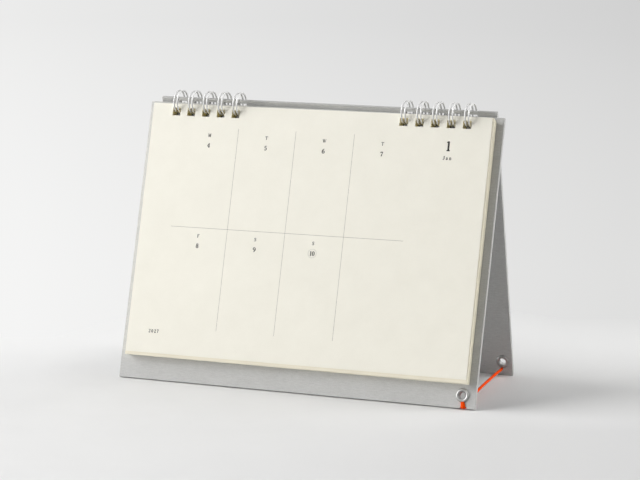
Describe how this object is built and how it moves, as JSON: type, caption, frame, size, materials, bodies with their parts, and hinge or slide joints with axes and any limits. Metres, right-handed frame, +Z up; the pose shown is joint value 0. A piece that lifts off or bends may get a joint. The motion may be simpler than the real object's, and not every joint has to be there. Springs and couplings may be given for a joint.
{
  "type": "desk calendar",
  "caption": "Tent-shaped desk calendar: two stiff boards and a block of sheets on twin-loop wire bindings, held open by a short cord between eyelets.",
  "frame": {"origin": "on the table, under the middle of the calendar without its cord", "axes": "+X to the right along the calendar as its front is read, +Y from the front to the back, +Z up from the table"},
  "size_m": [0.196, 0.0824, 0.1479],
  "materials": {
    "board": "matte, finely textured light grey board",
    "paper": "matte uncoated cream paper",
    "wire": "smooth bright plated wire",
    "eyelet": "smooth pressed metal",
    "cord": "orange braided cord"
  },
  "bodies": {
    "front": {"front_board": "board", "front_eyelet": "eyelet", "wire_left": "wire", "wire_right": "wire", "tie_cord": "cord"},
    "back": {"back_board": "board", "back_eyelet": "eyelet"},
    "sheets": {"sheet_block": "paper"}
  },
  "joints": [
    {"name": "stand_fold", "type": "hinge", "parent": "front", "child": "back", "pos_m": [0, 0.00189, 0.14161], "axis": [-1, 0, 0], "range_deg": [0, 30], "deforming": ["tie_cord"]},
    {"name": "sheet_turn", "type": "hinge", "parent": "front", "child": "sheets", "pos_m": [0, 0.00189, 0.14161], "axis": [-1, 0, 0], "range_deg": [0, 164]}
  ]
}
